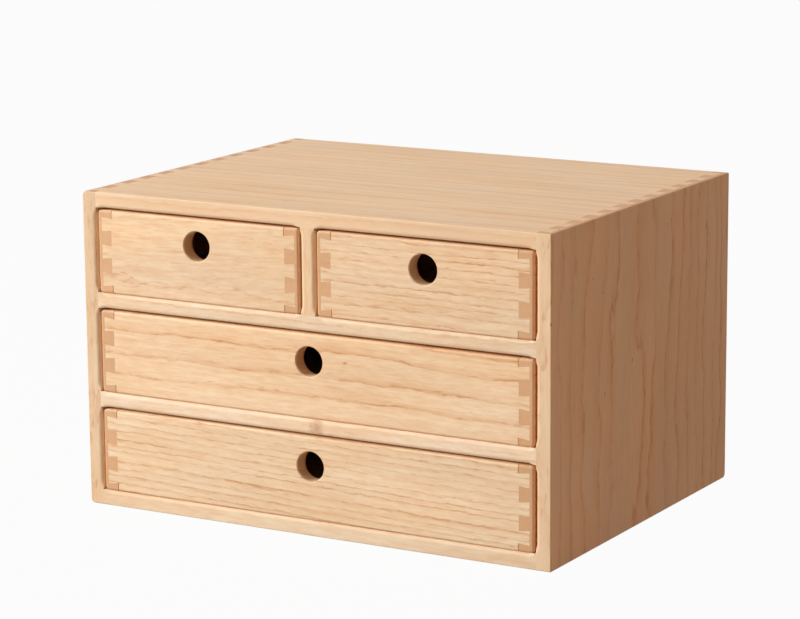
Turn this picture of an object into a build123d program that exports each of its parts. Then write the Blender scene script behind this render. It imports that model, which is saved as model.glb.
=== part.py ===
"""Desktop mini drawers: a small chest of solid wood, three tiers high.

Two half-width drawers stand above two full-width ones. The boards are joined at every corner by
half-blind dovetails: the tails are on the boards that run across, and the pins on the upright ones.

Millimetres. +X is to the right, the front faces -Y and +Z is up. The origin is on the surface that
the chest stands on, under the middle of its width and depth.
"""

import os
from math import radians, tan

from build123d import *

# ---------------------------------------------------------------- sizes
# Chest, over all
width = 350.0
depth = 264.0
height = 214.0

# Boards of the case
case_board = 10.5  # sides, top and bottom
shelf_board = 10.5
divider_board = 10.5
back_board = 4.0

# Drawers
tier_count = 3
drawer_front_board = 10.5
drawer_side_board = 10.5
drawer_back_board = 10.5
base_board = 3.0
front_recess = 0.2  # drawer fronts lie this far behind the front edges of the case
side_gap = 1.6  # on each side of a drawer
top_gap = 1.5
seat_gap = 0.15  # under a drawer
stop_gap = 0.3  # between a closed drawer and the back

# Finger hole in a drawer front
hole_diameter = 20.0
hole_drop = 18.2  # from the drawer's top edge to the middle of the hole
low_hole_drop = 20.0  # the same in the bottom drawer, where the hole lies lower
hole_easing = 0.6

# Half-blind dovetails
tail_slope = 6.5  # degrees
case_tail_pitch = 22.0
case_tail_root = 9.2  # width of a tail where it leaves its board
case_tail_length = 7.0
drawer_tail_pitch = 18.4
drawer_tail_root = 7.9
drawer_tail_length = 7.6
glue_gap = 0.05

# Stopped housings for the shelves and the divider
housing_depth = 4.0
housing_stop = 9.0  # they end this far behind the front edge

# Groove for a drawer's base
groove_depth = 4.0
groove_height = 6.0  # from the drawer's lower edge
groove_gap = 0.1

# Rabbet for the back
rabbet_width = 5.0
back_inset = 1.0

# Easing of the edges
edge_radius = 0.8
round_edge_radius = 3.0  # the far edges, which are rounded more
drawer_corner_radius = 2.0  # along the outer edges of a drawer's sides
drawer_edge_radius = 1.5  # round the front
opening_radius = 2.8  # quarter round on the front edges of the openings
bearing_radius = 6.35  # the bearing that guided the cutter, and leaves the corners unrounded
cutter_overrun = 1.0

# ---------------------------------------------------------------- places worked out from the sizes
front_y = -depth / 2
rear_y = depth / 2
inner_width = width - 2 * case_board
back_outer_y = rear_y - back_inset
back_inner_y = back_outer_y - back_board
back_width = inner_width + 2 * rabbet_width
back_low_z = case_board - rabbet_width
back_high_z = height - back_low_z
tier_height = (height - 2 * case_board - (tier_count - 1) * shelf_board) / tier_count
half_width = (inner_width - divider_board) / 2
drawer_front_y = front_y + front_recess
drawer_rear_y = back_inner_y - stop_gap
drawer_height = tier_height - top_gap - seat_gap


def tier_floor(tier):
    """Height of the board that the drawers of one tier slide on, counted from 0 at the bottom."""
    return case_board + tier * (tier_height + shelf_board)


class Opening:
    """One opening in the front of the case, and the space behind it."""

    def __init__(self, tier, x, span):
        self.x = x
        self.span = span
        self.low_z = tier_floor(tier)
        self.high_z = self.low_z + tier_height
        self.mid_z = self.low_z + tier_height / 2


half_offset = (divider_board + half_width) / 2
openings = {
    "drawer_bottom": Opening(0, 0, inner_width),
    "drawer_middle": Opening(1, 0, inner_width),
    "drawer_top_left": Opening(2, -half_offset, half_width),
    "drawer_top_right": Opening(2, half_offset, half_width),
}
divider_low_z = openings["drawer_top_left"].low_z
divider_high_z = openings["drawer_top_left"].high_z


# ---------------------------------------------------------------- shared shapes
def save(piece, name):
    """Label a finished piece and write it to a file of its own."""
    piece.part.label = name
    export_step(piece.part, f"parts/{name}.step")


def outward(side):
    """Direction to the right, or for side -1 to the left, to sort by."""
    return Axis.X if side > 0 else -Axis.X


def block(low, high, mode=Mode.ADD):
    """A rectangular block between two opposite corners, in the part that is being made."""
    with Locations((Vector(low) + Vector(high)) / 2):
        Box(*[abs(b - a) for a, b in zip(low, high)], mode=mode)


def tail_row(centre, along, side, run, pitch, root, length, gap=0.0):
    """Outlines of a row of dovetails on a board's end, on the plane through the board's middle.

    The row fills a run of the end, in a direction, with half a pin left at both its ends.
    """
    count = max(1, round(run / pitch))
    reach = length + gap
    end_width = root + 2 * gap + 2 * reach * tan(radians(tail_slope))
    plane = Plane(origin=centre, x_dir=along, z_dir=Vector(along).cross(Vector(side, 0, 0)))
    with BuildSketch(plane) as row:
        with GridLocations(run / count, 0, count, 1):
            Trapezoid(end_width, reach, 90 + tail_slope, align=(Align.CENTER, Align.MIN))
    return row.sketch


def case_tails(side, board_mid_z, gap=0.0):
    """The tails at one end of the top or the bottom of the case."""
    centre = (side * inner_width / 2, 0, board_mid_z)
    return tail_row(
        centre, (0, 1, 0), side, depth, case_tail_pitch, case_tail_root, case_tail_length, gap
    )


def opening_cut(opening):
    """What a round-over cutter with a guide bearing takes from the front edges of one opening.

    The bearing rolls along the faces of the opening, so its centre keeps a rounded path: the round
    runs out before each corner, and the corner itself stays square.
    """
    face = Plane((opening.x, front_y, opening.mid_z), x_dir=(1, 0, 0), z_dir=(0, -1, 0))
    corners = [(1, -1), (1, 1), (-1, 1), (-1, -1)]
    with BuildPart() as waste:
        with BuildLine(face) as path:
            FilletPolyline(
                *[(u * opening.span / 2, v * tier_height / 2) for u, v in corners],
                radius=bearing_radius,
                close=True,
            )
        with BuildSketch(Plane(path.line @ 0, x_dir=(0, -1, 0), z_dir=path.line % 0)):
            with BuildLine():
                CenterArc((-opening_radius, opening_radius), opening_radius, 0, -90)
                Polyline(
                    (-opening_radius, 0),
                    (-opening_radius, -cutter_overrun),
                    (cutter_overrun, -cutter_overrun),
                    (cutter_overrun, opening_radius),
                    (0, opening_radius),
                )
            make_face()
        sweep(path=path.line)
    return waste.part


def rabbet_cut():
    """The space round the back, cut out of the case's rear inner edges."""
    with BuildPart() as space:
        block(
            (-back_width / 2 - glue_gap, back_inner_y, back_low_z - glue_gap),
            (back_width / 2 + glue_gap, rear_y + cutter_overrun, back_high_z + glue_gap),
        )
    return space.part


opening_cuts = [opening_cut(opening) for opening in openings.values()]
back_rabbet = rabbet_cut()


# ---------------------------------------------------------------- case
def ease_case_side(panel, side, outer_radius):
    """Round the edges of a side that show: its ends, and the outline of its outer face."""
    rear_ends = panel.edges().filter_by(Axis.X).group_by(Axis.Y)[-1].sort_by(Axis.Z)
    fillet(rear_ends[0], round_edge_radius)
    outer_edges = panel.faces().sort_by(outward(side))[-1].edges().sort_by(Axis.Y)
    if outer_radius > edge_radius:
        fillet(outer_edges[1:], outer_radius)
        outer_edges = ShapeList()
    inner_edges = panel.faces().sort_by(outward(side))[0].edges()
    front_edges = panel.faces().sort_by(Axis.Y)[0].edges() - inner_edges - outer_edges
    rear_ends = panel.edges().filter_by(Axis.X).group_by(Axis.Y)[-1].sort_by(Axis.Z)
    fillet(front_edges + outer_edges + [rear_ends[-1]], edge_radius)


def make_case_side(name, side, outer_radius):
    """An upright end of the case: pins and a lap at both ends, housings for the shelves."""
    inner_x = side * inner_width / 2
    with BuildPart() as panel:
        with BuildSketch(Plane.YZ.offset(inner_x)):
            with Locations((0, height / 2)):
                Rectangle(depth, height)
        extrude(amount=side * case_board)
        ease_case_side(panel, side, outer_radius)
        for board_mid_z in (case_board / 2, height - case_board / 2):
            sockets = case_tails(side, board_mid_z, glue_gap)
            extrude(sockets, amount=case_board / 2, both=True, mode=Mode.SUBTRACT)
        for tier in range(1, tier_count):
            block(
                (inner_x, front_y + housing_stop - glue_gap, tier_floor(tier) - shelf_board),
                (inner_x + side * (housing_depth + glue_gap), back_inner_y, tier_floor(tier)),
                mode=Mode.SUBTRACT,
            )
        add([back_rabbet, *opening_cuts], mode=Mode.SUBTRACT)
    save(panel, name)


def make_case_end_board(name, low_z, is_top, rear_radius):
    """The top or the bottom of the case: a board between the sides, with a row of tails each end."""
    with BuildPart() as board:
        block(
            (-inner_width / 2, front_y, low_z), (inner_width / 2, rear_y, low_z + case_board)
        )
        outer = board.faces().sort_by(Axis.Z)[-1 if is_top else 0]
        long_edges = outer.edges().filter_by(Axis.X).sort_by(Axis.Y)
        fillet(long_edges[0], edge_radius)
        fillet(long_edges[1], rear_radius)
        for side in (-1, 1):
            extrude(case_tails(side, low_z + case_board / 2), amount=case_board / 2, both=True)
        if is_top:
            block(
                (-divider_board / 2, front_y + housing_stop - glue_gap, low_z),
                (divider_board / 2, back_inner_y, low_z + housing_depth + glue_gap),
                mode=Mode.SUBTRACT,
            )
        add([back_rabbet, *opening_cuts], mode=Mode.SUBTRACT)
    save(board, name)


def make_shelf(name, tier):
    """A shelf under one tier: full width at the front edge, with tongues in the sides behind it."""
    high_z = tier_floor(tier)
    with BuildPart() as shelf:
        with BuildSketch(Plane.XY.offset(high_z - shelf_board)):
            with Locations((0, (front_y + back_inner_y) / 2)):
                Rectangle(inner_width, back_inner_y - front_y)
            with Locations((0, (front_y + housing_stop + back_inner_y) / 2)):
                Rectangle(
                    inner_width + 2 * housing_depth, back_inner_y - front_y - housing_stop
                )
        extrude(amount=shelf_board)
        if high_z == divider_low_z:
            block(
                (-divider_board / 2, front_y + housing_stop - glue_gap, high_z),
                (divider_board / 2, back_inner_y, high_z - housing_depth - glue_gap),
                mode=Mode.SUBTRACT,
            )
        add(opening_cuts, mode=Mode.SUBTRACT)
    save(shelf, name)


def make_divider():
    """The upright board between the top drawers, housed in the upper shelf and in the top."""
    divider_mid_z = (divider_low_z + divider_high_z) / 2
    with BuildPart() as divider:
        with BuildSketch(Plane.YZ):
            with Locations(((front_y + back_inner_y) / 2, divider_mid_z)):
                Rectangle(back_inner_y - front_y, tier_height)
            with Locations(((front_y + housing_stop + back_inner_y) / 2, divider_mid_z)):
                Rectangle(
                    back_inner_y - front_y - housing_stop, tier_height + 2 * housing_depth
                )
        extrude(amount=divider_board / 2, both=True)
        add(opening_cuts, mode=Mode.SUBTRACT)
    save(divider, "centre_divider")


def make_back():
    """The thin back, in the rabbet."""
    with BuildPart() as back:
        block(
            (-back_width / 2, back_inner_y, back_low_z), (back_width / 2, back_outer_y, back_high_z)
        )
    save(back, "back_panel")


# ---------------------------------------------------------------- drawers
class Drawer:
    """The space that one drawer fills, where its boards meet and how high its hole is."""

    def __init__(self, opening, drop):
        self.x = opening.x
        self.low_z = opening.low_z + seat_gap
        self.high_z = self.low_z + drawer_height
        self.mid_z = (self.low_z + self.high_z) / 2
        self.hole_z = self.high_z - drop
        self.outer_half = opening.span / 2 - side_gap
        self.inner_half = self.outer_half - drawer_side_board
        self.front_mid_y = drawer_front_y + drawer_front_board / 2
        self.back_mid_y = drawer_rear_y - drawer_back_board / 2
        self.inner_front_y = drawer_front_y + drawer_front_board
        self.inner_rear_y = drawer_rear_y - drawer_back_board
        self.base_low_z = self.low_z + groove_height


def drawer_tails(drawer, side, board_mid_y, gap=0.0):
    """The tails at one end of a drawer's front or back."""
    return tail_row(
        (drawer.x + side * drawer.inner_half, board_mid_y, drawer.mid_z),
        (0, 0, 1),
        side,
        drawer_height,
        drawer_tail_pitch,
        drawer_tail_root,
        drawer_tail_length,
        gap,
    )


def base_block(drawer, gap=0.0, mode=Mode.ADD):
    """The drawer's base, or with a gap the groove that it lies in, in the part being made."""
    reach_x = drawer.inner_half + groove_depth - groove_gap + gap
    reach_y = groove_depth - groove_gap + gap
    block(
        (drawer.x - reach_x, drawer.inner_front_y - reach_y, drawer.base_low_z - gap),
        (drawer.x + reach_x, drawer.inner_rear_y + reach_y, drawer.base_low_z + base_board + gap),
        mode=mode,
    )


def make_drawer_front(name, drawer):
    """A drawer's front: tails at both ends, the finger hole, and the base's groove behind."""
    with BuildPart() as front:
        block(
            (drawer.x - drawer.inner_half, drawer_front_y, drawer.low_z),
            (drawer.x + drawer.inner_half, drawer.inner_front_y, drawer.high_z),
        )
        face = front.faces().sort_by(Axis.Y)[0]
        fillet(face.edges().filter_by(Axis.X), drawer_edge_radius)
        for side in (-1, 1):
            tails = drawer_tails(drawer, side, drawer.front_mid_y)
            extrude(tails, amount=drawer_front_board / 2, both=True)
        with BuildSketch(Plane.XZ.offset(-drawer_front_y)):
            with Locations((drawer.x, drawer.hole_z)):
                Circle(hole_diameter / 2)
        extrude(amount=-drawer_front_board, mode=Mode.SUBTRACT)
        chamfer(front.edges().filter_by(GeomType.CIRCLE), hole_easing)
        base_block(drawer, groove_gap, Mode.SUBTRACT)
    save(front, f"{name}_front")


def make_drawer_back(name, drawer):
    """A drawer's back, joined like its front."""
    with BuildPart() as back:
        block(
            (drawer.x - drawer.inner_half, drawer.inner_rear_y, drawer.low_z),
            (drawer.x + drawer.inner_half, drawer_rear_y, drawer.high_z),
        )
        for side in (-1, 1):
            tails = drawer_tails(drawer, side, drawer.back_mid_y)
            extrude(tails, amount=drawer_back_board / 2, both=True)
        base_block(drawer, groove_gap, Mode.SUBTRACT)
    save(back, f"{name}_back")


def make_drawer_side(name, drawer, side):
    """A drawer's side: pins and a lap at both ends, seen as end grain on the drawer's front."""
    inner_x = drawer.x + side * drawer.inner_half
    outer_x = drawer.x + side * drawer.outer_half
    with BuildPart() as board:
        block((inner_x, drawer_front_y, drawer.low_z), (outer_x, drawer_rear_y, drawer.high_z))
        outer = board.faces().sort_by(outward(side))[-1]
        fillet(outer.edges().filter_by(Axis.Y), drawer_corner_radius)
        inner = board.faces().sort_by(outward(side))[0]
        front = board.faces().sort_by(Axis.Y)[0]
        fillet(front.edges() - inner.edges(), drawer_edge_radius)
        for board_mid_y, thickness in (
            (drawer.front_mid_y, drawer_front_board),
            (drawer.back_mid_y, drawer_back_board),
        ):
            sockets = drawer_tails(drawer, side, board_mid_y, glue_gap)
            extrude(sockets, amount=thickness / 2, both=True, mode=Mode.SUBTRACT)
        base_block(drawer, groove_gap, Mode.SUBTRACT)
    save(board, f"{name}_side_{'left' if side < 0 else 'right'}")


def make_drawer_base(name, drawer):
    """A drawer's thin base, in the grooves."""
    with BuildPart() as base:
        base_block(drawer)
    save(base, f"{name}_base")


# ---------------------------------------------------------------- the whole chest
os.makedirs("parts", exist_ok=True)

make_case_side("case_side_left", -1, round_edge_radius)
make_case_side("case_side_right", 1, edge_radius)
make_case_end_board("top_panel", height - case_board, True, edge_radius)
make_case_end_board("bottom_panel", 0, False, round_edge_radius)
make_shelf("lower_shelf", 1)
make_shelf("upper_shelf", 2)
make_divider()
make_back()

for drawer_name, drawer_opening in openings.items():
    is_bottom = drawer_opening.low_z == tier_floor(0)
    chest_drawer = Drawer(drawer_opening, low_hole_drop if is_bottom else hole_drop)
    make_drawer_front(drawer_name, chest_drawer)
    make_drawer_side(drawer_name, chest_drawer, -1)
    make_drawer_side(drawer_name, chest_drawer, 1)
    make_drawer_back(drawer_name, chest_drawer)
    make_drawer_base(drawer_name, chest_drawer)
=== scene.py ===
"""Looks of the desktop mini drawers: pale solid wood, board by board, on a plain studio floor.

The grain runs through every board as it does in a plank: growth rings round a pith that lies
somewhere outside the board, lines on its faces and arcs on its ends. Metres, as in the frame;
the grain itself is worked out in millimetres.
"""

from math import cos, radians, sin

import bmesh
import bpy
from bpy.props import FloatProperty, FloatVectorProperty, IntProperty, PointerProperty
from mathutils import Matrix, Vector


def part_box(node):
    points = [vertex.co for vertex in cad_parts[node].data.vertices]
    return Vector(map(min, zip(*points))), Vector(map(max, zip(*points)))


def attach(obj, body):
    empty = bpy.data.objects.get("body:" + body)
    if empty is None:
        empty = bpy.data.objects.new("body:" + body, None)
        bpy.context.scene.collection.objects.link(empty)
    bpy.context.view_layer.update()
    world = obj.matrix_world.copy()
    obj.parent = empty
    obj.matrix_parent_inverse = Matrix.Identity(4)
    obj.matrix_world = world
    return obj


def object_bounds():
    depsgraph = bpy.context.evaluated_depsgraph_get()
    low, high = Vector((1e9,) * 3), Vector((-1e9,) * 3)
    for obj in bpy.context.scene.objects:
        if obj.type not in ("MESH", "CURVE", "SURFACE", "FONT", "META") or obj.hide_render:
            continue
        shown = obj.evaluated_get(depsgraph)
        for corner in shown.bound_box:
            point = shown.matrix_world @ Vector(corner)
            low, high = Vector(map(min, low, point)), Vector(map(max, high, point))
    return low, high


bl_info = {
    "name": "Desktop Mini Drawers",
    "version": (1, 0, 0),
    "blender": (4, 5, 0),
    "location": "3D View > Sidebar > Drawers",
    "description": "Gives a small chest of drawers its wood, its back nails and its stage",
    "category": "Object",
}

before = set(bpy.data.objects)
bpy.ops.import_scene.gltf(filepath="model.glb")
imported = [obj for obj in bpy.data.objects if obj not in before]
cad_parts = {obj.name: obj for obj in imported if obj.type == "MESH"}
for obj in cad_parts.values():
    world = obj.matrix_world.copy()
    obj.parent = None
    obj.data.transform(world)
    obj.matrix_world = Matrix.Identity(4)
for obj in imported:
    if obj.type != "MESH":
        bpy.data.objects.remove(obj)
cad_low, cad_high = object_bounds()
cad_middle = (cad_low + cad_high) / 2

MM = 0.001
AXES = "XYZ"

# ---------------------------------------------------------------- how the boards were sawn
# Each value goes to the socket of its name in the growth rings' group. ring is the distance between
# rings, wander how far they stray and width how wide their lines are, in mm; the others are shares:
# of line colour, of the line that is broken into dashes, of late wood, and of flecks and streaks.
FIGURES = {
    "fine": dict(ring=4.8, wander=6.0, width=2.0, line=0.78, dash=0.55, band=0.20, fleck=0.9),
    "close": dict(ring=4.7, wander=5.0, width=2.0, line=0.80, dash=0.60, band=0.22, fleck=1.0),
    "wide": dict(ring=16.0, wander=20.0, width=3.6, line=0.95, dash=0.55, band=0.50, fleck=1.0),
    "flat": dict(ring=12.0, wander=36.0, width=3.0, line=0.60, dash=0.85, band=0.50, fleck=1.1),
    "quiet": dict(ring=8.0, wander=10.0, width=2.4, line=0.35, dash=0.80, band=0.28, fleck=0.9),
    "top": dict(ring=12.0, wander=12.0, width=3.0, line=0.22, dash=0.70, band=0.32, fleck=0.5),
    "side": dict(ring=13.0, wander=34.0, width=3.0, line=0.60, dash=0.70, band=0.32, fleck=0.5),
}
PLAIN = (1.0, 1.0, 1.0)
# Painted shade: the drawers' sides are browner and darker on their broad faces, as they look in
# shade in the gaps
DRAWER_SIDE_PAINTED_SHADE = (0.92, 0.80, 0.68)
RIGHT_SIDE_PAINTED_SHADE = (1.03, 0.77, 0.61)  # painted shade: the broad face browner and darker than the rest, as it looks in shade
NO_STRIPS = (4000.0, 2000.0)  # one strip, far wider than any board, with the board in its middle


class Board:
    """How one board was sawn from its log, and how it turned out.

    across and through say where the pith is from the board's middle, in mm: across the fibre on
    the board's face, and through its thickness. tilt is the slope of the fibre, in degrees. tone
    multiplies the colours, and painted_face_shade does so on the broad faces alone, as painted
    shade: it makes those faces browner and darker, as they look in shade. knots are places along,
    across and through, with a size; one with no place through the board goes all the way. strips
    are the width of the glued strips and how far they are shifted.
    """

    def __init__(
        self, fibre, figure, across, through, tilt=0.0, tone=PLAIN, painted_face_shade=None, knots=(),
        strips=NO_STRIPS,
    ):
        self.fibre = AXES.index(fibre)
        self.figure = FIGURES[figure]
        self.across = across
        self.through = through
        self.tilt = tilt
        self.tone = tone
        self.painted_face_shade = painted_face_shade
        self.knots = knots
        self.strips = strips


DRAWERS = ("drawer_bottom", "drawer_middle", "drawer_top_left", "drawer_top_right")
RIGHT_SIDE_KNOTS = (
    (69, -75, None, 0.8), (87, 34, None, 0.8), (6, -17.5, None, 1.0), (-8.5, -57.5, None, 1.1),
    (58, -61, None, 0.9), (50.5, -131.7, 5.0, 0.9),
)

boards = {
    "case_side_left": Board("Z", "side", 175, 40, tone=(0.93, 0.93, 0.93)),
    "case_side_right": Board(
        "Z", "side", -15, 45, tilt=-1.0, painted_face_shade=RIGHT_SIDE_PAINTED_SHADE, knots=RIGHT_SIDE_KNOTS
    ),
    "top_panel": Board("X", "top", -160, 90, tone=(0.98, 0.97, 0.97), strips=(109.0, 53.0)),
    "bottom_panel": Board("X", "quiet", 190, 60, tone=(0.97, 1.01, 1.06)),
    "upper_shelf": Board("X", "quiet", -150, 120, tone=(1.0, 1.05, 1.12)),
    "lower_shelf": Board(
        "X", "quiet", 210, -80, tone=(1.02, 1.09, 1.22), knots=((5, -131, None, 3.4),)
    ),
    "centre_divider": Board("Z", "quiet", 150, 40, tone=(1.0, 0.98, 0.95)),
    "back_panel": Board("X", "flat", -60, 25),
    "drawer_bottom_front": Board("X", "fine", 110, 45, tilt=1.6, tone=(1.02, 1.05, 1.07)),
    "drawer_middle_front": Board("X", "wide", -150, 30, tilt=0.4, knots=((27, 11.6, None, 1.1),)),
    "drawer_top_left_front": Board("X", "flat", 20, 30, tilt=-2.0),
    "drawer_top_right_front": Board("X", "close", -120, 40, tilt=0.3),
}
for number, drawer in enumerate(DRAWERS):
    boards[f"{drawer}_side_left"] = Board(
        "Y", "quiet", 70 + 13 * number, 35, painted_face_shade=DRAWER_SIDE_PAINTED_SHADE
    )
    boards[f"{drawer}_side_right"] = Board(
        "Y", "quiet", -80 - 17 * number, 30, painted_face_shade=DRAWER_SIDE_PAINTED_SHADE
    )
    boards[f"{drawer}_back"] = Board("X", "flat", 90 + 21 * number, 40)
    boards[f"{drawer}_base"] = Board("X", "flat", 60 + 37 * number, 25)


# ---------------------------------------------------------------- settings
class WoodSettings(bpy.types.PropertyGroup):
    """Colours of the wood, as seen in plain light."""

    face: FloatVectorProperty(
        name="Face", description="The wood between the growth lines",
        subtype="COLOR", min=0, max=1, default=(0.955, 0.725, 0.485),
    )
    band: FloatVectorProperty(
        name="Late Wood", description="The soft darker part of each growth ring",
        subtype="COLOR", min=0, max=1, default=(0.800, 0.455, 0.230),
    )
    line: FloatVectorProperty(
        name="Growth Line", description="The rows of open pores where a ring begins",
        subtype="COLOR", min=0, max=1, default=(0.590, 0.270, 0.110),
    )
    end: FloatVectorProperty(
        name="End Grain", description="The boards' ends, as in the pins of the dovetails",
        subtype="COLOR", min=0, max=1, default=(0.730, 0.420, 0.225),
    )
    knot: FloatVectorProperty(
        name="Knot", description="Knots and pin knots",
        subtype="COLOR", min=0, max=1, default=(0.440, 0.180, 0.070),
    )
    gloss: FloatProperty(
        name="Roughness", description="Roughness of the sanded surface",
        subtype="FACTOR", min=0, max=1, default=0.58,
    )


class NailSettings(bpy.types.PropertyGroup):
    """The nails that hold the back."""

    head: FloatProperty(
        name="Head", description="Diameter of a nail's head",
        subtype="DISTANCE", unit="LENGTH", min=0, default=2.6 * MM,
    )
    thickness: FloatProperty(
        name="Head Thickness", description="How far a head stands above the back",
        subtype="DISTANCE", unit="LENGTH", min=0, default=0.5 * MM,
    )
    columns: IntProperty(
        name="Columns", description="Nails along each cross board", min=1, default=4,
    )
    colour: FloatVectorProperty(
        name="Steel", description="Colour of the nails",
        subtype="COLOR", min=0, max=1, default=(0.46, 0.45, 0.44),
    )


class StageSettings(bpy.types.PropertyGroup):
    """Floor, light and camera."""

    floor: FloatVectorProperty(
        name="Floor", description="Colour of the floor",
        subtype="COLOR", min=0, max=1, default=(0.37, 0.36, 0.35),
    )
    ambient: FloatProperty(
        name="Room Light", description="Strength of the even light all round", min=0, default=0.36,
    )
    key: FloatProperty(
        name="Key Light", description="Power of the large lamp at the front left",
        subtype="POWER", unit="POWER", min=0, default=81.0,
    )
    fill: FloatProperty(
        name="Fill Light", description="Power of the lamp above",
        subtype="POWER", unit="POWER", min=0, default=6.0,
    )


class ChestSettings(bpy.types.PropertyGroup):
    """All the settings of the chest and its stage."""

    wood: PointerProperty(type=WoodSettings)
    nails: PointerProperty(type=NailSettings)
    stage: PointerProperty(type=StageSettings)


# ---------------------------------------------------------------- node helpers
class Nodes:
    """Adds nodes to a tree, and links each one to what feeds it."""

    def __init__(self, tree):
        self.tree = tree

    def add(self, kind, inputs=(), **settings):
        """A node with its settings; inputs are pairs of a socket's name or number and its feed."""
        node = self.tree.nodes.new(kind)
        for name, value in settings.items():
            setattr(node, name, value)
        for key, feed in dict(inputs).items():
            self.feed(node.inputs[key], feed)
        return node

    def feed(self, socket, feed):
        """Link a socket, or give it a fixed value."""
        if isinstance(feed, bpy.types.NodeSocket):
            self.tree.links.new(feed, socket)
        else:
            socket.default_value = feed

    def math(self, operation, *feeds, clamp=False):
        node = self.add(
            "ShaderNodeMath", dict(enumerate(feeds)), operation=operation, use_clamp=clamp
        )
        return node.outputs[0]

    def vector(self, operation, *feeds):
        node = self.add("ShaderNodeVectorMath", dict(enumerate(feeds)), operation=operation)
        return node.outputs["Value" if operation in ("LENGTH", "DISTANCE") else "Vector"]

    def noise(self, vector, stretch, detail=2.0, roughness=0.5):
        """Noise from 0 to 1, with its own number of cycles per mm along each direction."""
        scaled = self.vector("MULTIPLY", vector, stretch)
        inputs = {"Vector": scaled, "Scale": 1.0, "Detail": detail, "Roughness": roughness}
        return self.add("ShaderNodeTexNoise", inputs).outputs[0]

    def spread(self, value, low, high, to_low=0.0, to_high=1.0):
        """Map a value from one range to another, and hold it there."""
        node = self.add(
            "ShaderNodeMapRange", {0: value, 1: low, 2: high, 3: to_low, 4: to_high}
        )
        return node.outputs[0]

    def profile(self, value, stops):
        """A value that follows straight lines between stops, each a place and a height."""
        node = self.add("ShaderNodeFloatCurve", {"Value": value})
        curve = node.mapping.curves[0]
        for place, height in stops[1:-1]:
            curve.points.new(place, height)
        curve.points[0].location = stops[0]
        curve.points[-1].location = stops[-1]
        for point in curve.points:
            point.handle_type = "VECTOR"
        node.mapping.update()
        return node.outputs[0]

    def mix(self, factor, first, second, blend="MIX"):
        node = self.add(
            "ShaderNodeMix", {0: factor, 6: first, 7: second}, data_type="RGBA", blend_type=blend
        )
        return node.outputs[2]


def rgba(colour):
    return (*colour, 1.0)


def new_material(name):
    """An empty material, its nodes and its surface shader."""
    material = bpy.data.materials.new(name)
    material.use_nodes = True
    material.node_tree.nodes.clear()
    nodes = Nodes(material.node_tree)
    shader = nodes.add("ShaderNodeBsdfPrincipled")
    nodes.add("ShaderNodeOutputMaterial", {"Surface": shader.outputs[0]})
    return material, nodes, shader


# ---------------------------------------------------------------- wood
LINE_PROFILE = ((0.0, 1.0), (0.22, 0.95), (0.50, 0.35), (0.80, 0.06), (1.0, 0.0))
BAND_PROFILE = ((0.0, 0.85), (0.10, 1.0), (0.38, 0.35), (0.65, 0.0), (0.92, 0.10), (1.0, 0.85))
KNOT_STRETCH = 1.9  # knots are this much longer along the fibre
KNOT_REACH = 3.2  # how far a knot pushes the rings, in its own sizes
KNOT_PUSH = 2.2
KNOT_DARKNESS = 0.72
TREMBLE = 2.6  # mm

# Cycles per mm of the noises, along the fibre, across it and through the board
BEND_NOISE = (0.0050, 0.012, 0.012)
RIPPLE_NOISE = (0.028, 0.07, 0.07)
TREMBLE_NOISE = (0.11, 0.30, 0.30)
FADE_NOISE = (0.011, 0.06, 0.06)
PORE_NOISE = (0.11, 0.75, 0.75)
FIBRE_NOISE = (0.011, 0.36, 0.36)
FLECK_NOISE = (0.075, 0.42, 0.42)
SPECK_NOISE = (0.08, 0.60, 0.60)
CLOUD_NOISE = (0.006, 0.035, 0.035)
BLUSH_NOISE = (0.009, 0.028, 0.028)
END_PORE_NOISE = (0.5, 1.6, 1.6)
KNOT_NOISE = (0.25, 0.5, 0.5)


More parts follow.
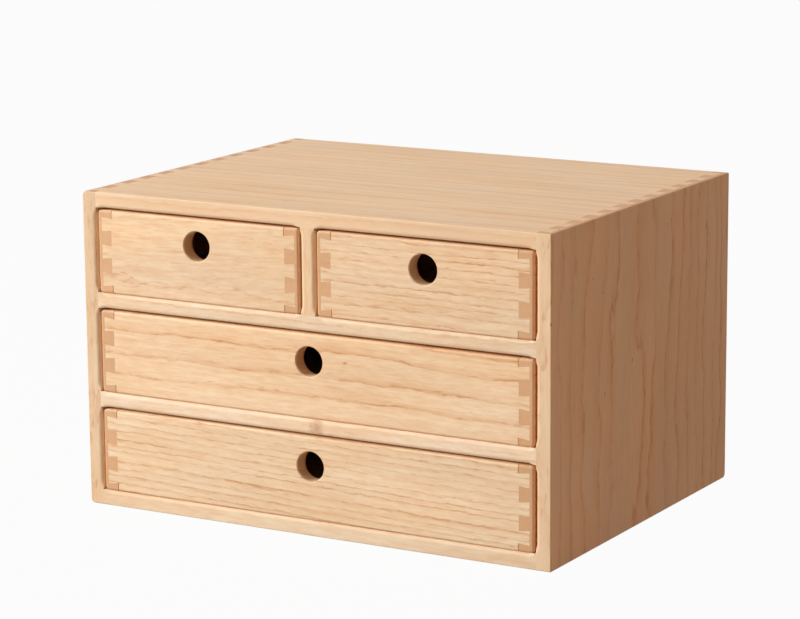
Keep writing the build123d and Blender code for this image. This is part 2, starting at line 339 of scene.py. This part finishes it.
def wood_group(wood):
    """The growth rings of solid wood, worked out in three dimensions."""
    tree = bpy.data.node_groups.new("Growth rings", "ShaderNodeTree")
    for name, kind in (
        ("Place", "Vector"), ("Grain", "Vector"), ("Seed", "Float"), ("Ring", "Float"),
        ("Wander", "Float"), ("Width", "Float"), ("Line", "Float"), ("Dash", "Float"),
        ("Band", "Float"), ("Fleck", "Float"), ("End", "Float"), ("Push", "Float"),
        ("Dark", "Float"), ("Tone and Shade", "Vector"), ("Strip", "Float"), ("Strip Shift", "Float"),
    ):
        tree.interface.new_socket(name, in_out="INPUT", socket_type=f"NodeSocket{kind}")
    tree.interface.new_socket("Colour", in_out="OUTPUT", socket_type="NodeSocketColor")
    tree.interface.new_socket("Height", in_out="OUTPUT", socket_type="NodeSocketFloat")
    nodes = Nodes(tree)
    given = nodes.add("NodeGroupInput").outputs

    # Wide boards are glued up from strips, each from another plank
    across = nodes.add("ShaderNodeSeparateXYZ", {0: given["Place"]}).outputs[1]
    strips = nodes.math("DIVIDE", nodes.math("ADD", across, given["Strip Shift"]), given["Strip"])
    strip_seed = nodes.math("MULTIPLY_ADD", given["Seed"], 7.31, nodes.math("FLOOR", strips))
    chance = nodes.add(
        "ShaderNodeTexWhiteNoise", {"W": strip_seed}, noise_dimensions="1D"
    ).outputs
    shift = nodes.vector("MULTIPLY", chance["Color"], (900.0, 40.0, 16.0))
    grain = nodes.vector("ADD", given["Grain"], shift)
    to_joint = nodes.math("PINGPONG", strips, 0.5)
    joint = nodes.spread(nodes.math("MULTIPLY", to_joint, given["Strip"]), 0.25, 0.8, 1.0, 0.0)

    # Rings
    bend = nodes.math("SUBTRACT", nodes.noise(grain, BEND_NOISE), 0.5)
    ripple = nodes.math("SUBTRACT", nodes.noise(grain, RIPPLE_NOISE), 0.5)
    tremble = nodes.math("SUBTRACT", nodes.noise(grain, TREMBLE_NOISE), 0.5)
    wander = nodes.math("MULTIPLY_ADD", ripple, 0.28, bend)
    flat = nodes.vector("MULTIPLY", grain, (0.0, 1.0, 1.0))
    radius = nodes.math("ADD", nodes.vector("LENGTH", flat), given["Push"])
    radius = nodes.math("MULTIPLY_ADD", wander, given["Wander"], radius)
    radius = nodes.math("MULTIPLY_ADD", tremble, TREMBLE, radius)
    rings = nodes.math("DIVIDE", radius, given["Ring"])
    uneven = nodes.add(
        "ShaderNodeTexNoise", {"W": rings, "Scale": 0.33, "Detail": 1.0}, noise_dimensions="1D"
    ).outputs[0]
    rings = nodes.math("MULTIPLY_ADD", uneven, 1.3, rings)
    part = nodes.math("FRACT", rings)
    past = nodes.math("DIVIDE", nodes.math("MULTIPLY", part, given["Ring"]), given["Width"])
    line = nodes.profile(past, LINE_PROFILE)
    band = nodes.profile(part, BAND_PROFILE)
    ring_seed = nodes.math("ADD", nodes.math("FLOOR", rings), given["Seed"])
    ring_chance = nodes.add(
        "ShaderNodeTexWhiteNoise", {"W": ring_seed}, noise_dimensions="1D"
    ).outputs[0]
    strength = nodes.spread(ring_chance, 0.0, 1.0, 0.50, 1.15)
    fade = nodes.spread(nodes.noise(grain, FADE_NOISE), 0.36, 0.60, 0.50, 1.15)
    strength = nodes.math("MULTIPLY", strength, fade)

    # Pores make dashes of the lines, and fibres make streaks and flecks between them
    line = nodes.math("MULTIPLY", line, strength)
    pores = nodes.noise(grain, PORE_NOISE, detail=3.0, roughness=0.6)
    pores = nodes.spread(nodes.math("MULTIPLY_ADD", line, 0.20, pores), 0.60, 0.72)
    whole = nodes.math("SUBTRACT", 1.0, given["Dash"])
    dashes = nodes.math("MULTIPLY", pores, given["Dash"])
    line = nodes.math("ADD", nodes.math("MULTIPLY", line, whole), dashes)
    fibres = nodes.math("SUBTRACT", nodes.noise(grain, FIBRE_NOISE, detail=3.0), 0.5)
    flecks = nodes.math(
        "SUBTRACT", nodes.noise(grain, FLECK_NOISE, detail=4.0, roughness=0.65), 0.5
    )
    specks = nodes.spread(nodes.noise(grain, SPECK_NOISE, detail=3.0), 0.52, 0.66)
    clouds = nodes.math("SUBTRACT", nodes.noise(grain, CLOUD_NOISE), 0.5)
    blush = nodes.math("SUBTRACT", nodes.noise(grain, BLUSH_NOISE, detail=1.0), 0.5)

    line_part = nodes.math("MULTIPLY", line, given["Line"])
    band_part = nodes.math("MULTIPLY", nodes.math("MULTIPLY", band, strength), given["Band"])
    colour = nodes.mix(band_part, rgba(wood.face), rgba(wood.band))
    colour = nodes.mix(line_part, colour, rgba(wood.line))
    speck_part = nodes.math("MULTIPLY", nodes.math("MULTIPLY", specks, given["Fleck"]), 0.30)
    colour = nodes.mix(speck_part, colour, rgba(wood.band))
    streaks = nodes.math("MULTIPLY_ADD", flecks, 1.7, fibres)
    streak_part = nodes.math("MULTIPLY", nodes.math("MULTIPLY", streaks, given["Fleck"]), 0.80)
    colour = nodes.mix(nodes.math("ADD", streak_part, 0.25, clamp=True), colour, rgba(wood.band))

    # Ends of the fibres, where pores are round and open
    open_pores = nodes.spread(nodes.noise(grain, END_PORE_NOISE, detail=1.0), 0.50, 0.70)
    end_colour = nodes.mix(nodes.math("MULTIPLY", line, 0.25), rgba(wood.end), rgba(wood.line))
    end_colour = nodes.mix(nodes.math("MULTIPLY", open_pores, 0.22), end_colour, rgba(wood.line))
    colour = nodes.mix(given["End"], colour, end_colour)
    colour = nodes.mix(nodes.math("MULTIPLY", joint, 0.30), colour, rgba(wood.line))
    colour = nodes.mix(given["Dark"], colour, rgba(wood.knot))

    # Warmer and paler places, the tone of the strip and of the board, and painted shade on the
    # broad faces of some boards
    value = nodes.math("MULTIPLY_ADD", clouds, 0.20, 1.03)
    value = nodes.math("ADD", value, nodes.spread(chance["Value"], 0.0, 1.0, -0.03, 0.03))
    warmth = nodes.add(
        "ShaderNodeCombineXYZ",
        {
            0: value,
            1: nodes.math("MULTIPLY_ADD", blush, -0.16, value),
            2: nodes.math("MULTIPLY_ADD", blush, -0.36, value),
        },
    ).outputs[0]
    colour = nodes.vector("MULTIPLY", colour, nodes.vector("MULTIPLY", warmth, given["Tone and Shade"]))
    height = nodes.math("MULTIPLY_ADD", line, -1.0, nodes.math("MULTIPLY", streaks, 0.5))
    nodes.add("NodeGroupOutput", {"Colour": colour, "Height": height})
    return tree


def knot_effect(nodes, place, knots):
    """How far the knots push the rings aside, and how dark they are."""
    push, dark = 0.0, 0.0
    for along, across, through, size in knots:
        offset = nodes.vector("SUBTRACT", place, (along, across, through or 0.0))
        depth = 0.0 if through is None else 1.0
        flat = nodes.vector("MULTIPLY", offset, (1 / KNOT_STRETCH, 1.0, depth))
        ratio = nodes.math("DIVIDE", nodes.vector("LENGTH", flat), size)
        near = nodes.spread(ratio, 0.0, KNOT_REACH, 1.0, 0.0)
        near = nodes.math("MULTIPLY", near, near)
        push = nodes.math("MULTIPLY_ADD", near, KNOT_PUSH * size, push)
        rough = nodes.noise(place, KNOT_NOISE)
        edge = nodes.math("MULTIPLY_ADD", rough, 0.9, ratio)
        core = nodes.spread(edge, 0.6, 1.5, KNOT_DARKNESS, 0.0)
        dark = nodes.math("MAXIMUM", core, dark)
    return push, dark


def wood_material(name, board, rings, wood, seed):
    """The wood of one board."""
    material, nodes, shader = new_material(name)
    low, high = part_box(name)
    size = high - low
    through = min(range(3), key=lambda axis: size[axis])
    across = 3 - board.fibre - through
    where = nodes.add("ShaderNodeTexCoord").outputs
    centred = nodes.vector("SUBTRACT", where["Object"], (low + high) / 2)
    place = nodes.add("ShaderNodeSeparateXYZ", {0: centred}).outputs
    turned = nodes.add(
        "ShaderNodeCombineXYZ", {0: place[board.fibre], 1: place[across], 2: place[through]}
    ).outputs[0]
    turned = nodes.vector("DIVIDE", turned, (MM, MM, MM))
    grain = nodes.add(
        "ShaderNodeMapping",
        {
            "Vector": turned,
            "Location": (0.0, -board.across, -board.through),
            "Rotation": (0.0, 0.0, radians(board.tilt)),
        },
    ).outputs[0]
    facing = nodes.add("ShaderNodeSeparateXYZ", {0: where["Normal"]}).outputs
    end = nodes.spread(nodes.math("ABSOLUTE", facing[board.fibre]), 0.45, 0.85)
    push, dark = knot_effect(nodes, turned, board.knots)
    # The board's own tone; where the board has a painted_face_shade, its broad faces get painted
    # shade, browner and darker, mixed in by how squarely they face through the board
    tone = board.tone
    if board.painted_face_shade:
        broad = nodes.spread(nodes.math("ABSOLUTE", facing[through]), 0.3, 0.95)
        tone = nodes.mix(broad, rgba(board.tone), rgba(board.painted_face_shade))
    strip, strip_shift = board.strips
    feeds = {
        "Place": turned, "Grain": grain, "Seed": seed, "End": end, "Push": push, "Dark": dark,
        "Tone and Shade": tone, "Strip": strip, "Strip Shift": strip_shift,
    }
    feeds.update((key.capitalize(), share) for key, share in board.figure.items())
    grown = nodes.add("ShaderNodeGroup", node_tree=rings)
    for key, feed in feeds.items():
        nodes.feed(grown.inputs[key], feed)
    rough = nodes.spread(grown.outputs["Height"], -1.0, 0.3, wood.gloss + 0.12, wood.gloss - 0.04)
    bump = nodes.add(
        "ShaderNodeBump",
        {"Height": grown.outputs["Height"], "Strength": 0.35, "Distance": 0.12 * MM},
    )
    nodes.feed(shader.inputs["Base Color"], grown.outputs["Colour"])
    nodes.feed(shader.inputs["Roughness"], rough)
    nodes.feed(shader.inputs["Normal"], bump.outputs[0])
    shader.inputs["Specular IOR Level"].default_value = 0.35
    return material


def dress(names, wood):
    """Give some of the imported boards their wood."""
    rings = bpy.data.node_groups.get("Growth rings") or wood_group(wood)
    for name in names:
        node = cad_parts[name]
        seed = float(sorted(boards).index(name))
        material = wood_material(name, boards[name], rings, wood, seed)
        for material_slot in node.material_slots:
            material_slot.material = material


class CHEST_OT_finish_case(bpy.types.Operator):
    """Give the boards of the case their wood"""

    bl_idname = "chest.finish_case"
    bl_label = "Finish the Case"

    def execute(self, context):
        dress(
            [name for name in boards if not name.startswith("drawer")],
            context.scene.chest.wood,
        )
        return {"FINISHED"}


class CHEST_OT_finish_drawers(bpy.types.Operator):
    """Give the boards of the drawers their wood"""

    bl_idname = "chest.finish_drawers"
    bl_label = "Finish the Drawers"

    def execute(self, context):
        dress([name for name in boards if name.startswith("drawer")], context.scene.chest.wood)
        return {"FINISHED"}


# ---------------------------------------------------------------- nails in the back
def nail_places(columns):
    """Where the nails stand on the back, as (x, z): along each board that it lies on."""
    back_low, back_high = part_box("back_panel")
    side_low, side_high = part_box("case_side_right")
    lap = back_high.x - side_low.x
    rows = [back_low.z + lap / 2, back_high.z - lap / 2]
    for shelf in ("lower_shelf", "upper_shelf"):
        shelf_low, shelf_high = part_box(shelf)
        rows.append((shelf_low.z + shelf_high.z) / 2)
    spacing = 2 * side_low.x / columns
    places = [((i - (columns - 1) / 2) * spacing, z) for i in range(columns) for z in rows]
    for drawer in ("drawer_bottom_back", "drawer_middle_back", "drawer_top_left_back"):
        drawer_low, drawer_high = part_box(drawer)
        for side in (-1, 1):
            places.append((side * (back_high.x - lap / 2), (drawer_low.z + drawer_high.z) / 2))
    return places


def steel_material(nails):
    """Plain steel with a thin dull skin."""
    material, nodes, shader = new_material("nail_steel")
    where = nodes.add("ShaderNodeTexCoord").outputs["Object"]
    place = nodes.vector("DIVIDE", where, (MM, MM, MM))
    dull = nodes.noise(place, (1.1, 1.1, 1.1), detail=4.0)
    dark = [0.55 * channel for channel in nails.colour]
    nodes.feed(shader.inputs["Base Color"], nodes.mix(dull, rgba(dark), rgba(nails.colour)))
    nodes.feed(shader.inputs["Roughness"], nodes.spread(dull, 0.3, 0.7, 0.55, 0.32))
    shader.inputs["Metallic"].default_value = 1.0
    return material


class CHEST_OT_add_nails(bpy.types.Operator):
    """Drive the nails that hold the back"""

    bl_idname = "chest.add_nails"
    bl_label = "Add the Nails"

    segments: IntProperty(name="Segments", description="Sides of a head", min=6, default=20)

    def execute(self, context):
        nails = context.scene.chest.nails
        back_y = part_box("back_panel")[1].y
        mesh = bpy.data.meshes.new("back_nails")
        shape = bmesh.new()
        for x, z in nail_places(nails.columns):
            upright = Matrix.Rotation(radians(-90), 4, "X")
            middle = Matrix.Translation((x, back_y + nails.thickness / 2, z))
            head = bmesh.ops.create_cone(
                shape, cap_ends=True, segments=self.segments, depth=nails.thickness,
                radius1=nails.head / 2, radius2=nails.head / 2, matrix=middle @ upright,
            )
            rim = [
                edge for edge in {e for v in head["verts"] for e in v.link_edges}
                if all(vertex.co.y > back_y + nails.thickness / 2 for vertex in edge.verts)
            ]
            bmesh.ops.bevel(
                shape, geom=rim, offset=0.35 * nails.thickness, segments=2, profile=0.5,
                affect="EDGES", material=-1,
            )
        shape.to_mesh(mesh)
        shape.free()
        mesh.shade_smooth()
        mesh.materials.append(steel_material(nails))
        piece = bpy.data.objects.new("back_nails", mesh)
        context.scene.collection.objects.link(piece)
        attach(piece, "case")
        return {"FINISHED"}


# ---------------------------------------------------------------- stage
FLOOR_WHITE = 0.96  # how much of the floor's colour, to the camera, is plain white
FLOOR_SIZE = 60.0
FLOOR_CLEARANCE = 0.05 * MM  # under the chest, so that their faces do not lie in one plane
ROOM_COLOUR = (1.0, 0.87, 0.74, 1.0)  # warm, so shaded faces render browner than written
LAMP_DISTANCE = 3.0
KEY_LAMP = dict(azimuth=-48.0, elevation=23.0, size=1.2)
TOP_LAMP = dict(azimuth=-10.0, elevation=78.0, size=2.0)

# The camera stands where the photograph was taken from
CAMERA_AZIMUTH = 30.126
CAMERA_ELEVATION = 11.731
CAMERA_ROLL = -0.479
CAMERA_DISTANCE = 2.0800
CAMERA_LENS = 137.78
AIM_RIGHT = -0.00742  # the frame's middle, from the middle of the chest
AIM_UP = 0.01866


def background_factor(nodes):
    """1 for the rays that see the background: from the camera, or through gloss or glass."""
    path = nodes.add("ShaderNodeLightPath").outputs
    seen = nodes.math("MAXIMUM", path["Is Camera Ray"], path["Is Glossy Ray"])
    return nodes.math("MAXIMUM", seen, path["Is Transmission Ray"])


def floor_material(stage):
    """A pale floor that shows white, with the object's shadow left on it."""
    material, nodes, shader = new_material("studio_floor")
    shader.inputs["Base Color"].default_value = rgba(stage.floor)
    shader.inputs["Roughness"].default_value = 0.9
    shader.inputs["Specular IOR Level"].default_value = 0.0
    white = nodes.add("ShaderNodeEmission", {"Color": (1, 1, 1, 1), "Strength": 1.0})
    share = nodes.math("MULTIPLY", background_factor(nodes), FLOOR_WHITE)
    mixed = nodes.add(
        "ShaderNodeMixShader", {0: share, 1: shader.outputs[0], 2: white.outputs[0]}
    )
    output = next(n for n in nodes.tree.nodes if n.type == "OUTPUT_MATERIAL")
    nodes.feed(output.inputs["Surface"], mixed.outputs[0])
    return material


def direction(azimuth, elevation):
    """Unit vector from the object towards a place round it; azimuth 0 is its front."""
    a, e = radians(azimuth), radians(elevation)
    return Vector((sin(a) * cos(e), -cos(a) * cos(e), sin(e)))


def add_lamp(name, azimuth, elevation, size, power):
    """A large soft lamp that faces the chest."""
    light = bpy.data.lights.new(name, "AREA")
    light.shape = "DISK"
    light.size = size
    light.energy = power
    lamp = bpy.data.objects.new(name, light)
    towards = direction(azimuth, elevation)
    lamp.matrix_world = Matrix.Translation(cad_middle + LAMP_DISTANCE * towards) @ (
        towards.to_track_quat("Z", "Y").to_matrix().to_4x4()
    )
    bpy.context.scene.collection.objects.link(lamp)


def add_camera():
    """The camera at the photograph's place."""
    camera = bpy.data.objects.new("camera", bpy.data.cameras.new("camera"))
    camera.data.lens = CAMERA_LENS
    back = direction(CAMERA_AZIMUTH, CAMERA_ELEVATION)
    turn = radians(CAMERA_AZIMUTH)
    level_right = Vector((cos(turn), sin(turn), 0.0))
    level_up = back.cross(level_right)
    roll = radians(CAMERA_ROLL)
    right = cos(roll) * level_right + sin(roll) * level_up
    up = cos(roll) * level_up - sin(roll) * level_right
    aim = cad_middle + AIM_RIGHT * right + AIM_UP * up
    turned = Matrix((right, up, back)).transposed().to_4x4()
    camera.matrix_world = Matrix.Translation(aim + CAMERA_DISTANCE * back) @ turned
    bpy.context.scene.collection.objects.link(camera)
    bpy.context.scene.camera = camera


def set_world(stage):
    """Even warm room light, seen as plain white behind the chest."""
    world = bpy.data.worlds.new("studio")
    world.use_nodes = True
    world.node_tree.nodes.clear()
    nodes = Nodes(world.node_tree)
    room = nodes.add("ShaderNodeBackground", {0: ROOM_COLOUR, 1: stage.ambient})
    white = nodes.add("ShaderNodeBackground", {0: (1, 1, 1, 1), 1: 1.0})
    share = background_factor(nodes)
    mixed = nodes.add(
        "ShaderNodeMixShader", {0: share, 1: room.outputs[0], 2: white.outputs[0]}
    )
    nodes.add("ShaderNodeOutputWorld", {"Surface": mixed.outputs[0]})
    bpy.context.scene.world = world


class CHEST_OT_add_stage(bpy.types.Operator):
    """Add the floor, the lamps and the camera"""

    bl_idname = "chest.add_stage"
    bl_label = "Add the Stage"

    def execute(self, context):
        stage = context.scene.chest.stage
        mesh = bpy.data.meshes.new("floor")
        shape = bmesh.new()
        bmesh.ops.create_grid(
            shape, x_segments=1, y_segments=1, size=FLOOR_SIZE / 2,
            matrix=Matrix.Translation((0, 0, -FLOOR_CLEARANCE)),
        )
        shape.to_mesh(mesh)
        shape.free()
        mesh.materials.append(floor_material(stage))
        floor = bpy.data.objects.new("floor", mesh)
        context.scene.collection.objects.link(floor)
        add_lamp("key_lamp", power=stage.key, **KEY_LAMP)
        add_lamp("top_lamp", power=stage.fill, **TOP_LAMP)
        add_camera()
        set_world(stage)
        context.scene.view_settings.view_transform = "Standard"
        return {"FINISHED"}


# ---------------------------------------------------------------- add-on
OPERATORS = (
    CHEST_OT_finish_case,
    CHEST_OT_finish_drawers,
    CHEST_OT_add_nails,
    CHEST_OT_add_stage,
)


class CHEST_PT_sidebar(bpy.types.Panel):
    """The chest's settings, and a button for each step"""

    bl_idname = "CHEST_PT_sidebar"
    bl_label = "Desktop Mini Drawers"
    bl_space_type = "VIEW_3D"
    bl_region_type = "UI"
    bl_category = "Drawers"

    def draw(self, context):
        chest = context.scene.chest
        for group in (chest.wood, chest.nails, chest.stage):
            box = self.layout.box()
            for name in group.__annotations__:
                box.prop(group, name)
        for operator in OPERATORS:
            self.layout.operator(operator.bl_idname)


CLASSES = (WoodSettings, NailSettings, StageSettings, ChestSettings, *OPERATORS, CHEST_PT_sidebar)


def register():
    for cls in CLASSES:
        bpy.utils.register_class(cls)
    bpy.types.Scene.chest = PointerProperty(type=ChestSettings)


def unregister():
    del bpy.types.Scene.chest
    for cls in reversed(CLASSES):
        bpy.utils.unregister_class(cls)


def main():
    """Make the whole scene."""
    register()
    bpy.ops.chest.finish_case()
    bpy.ops.chest.finish_drawers()
    bpy.ops.chest.add_nails()
    bpy.ops.chest.add_stage()


if __name__ == "__main__":
    main()
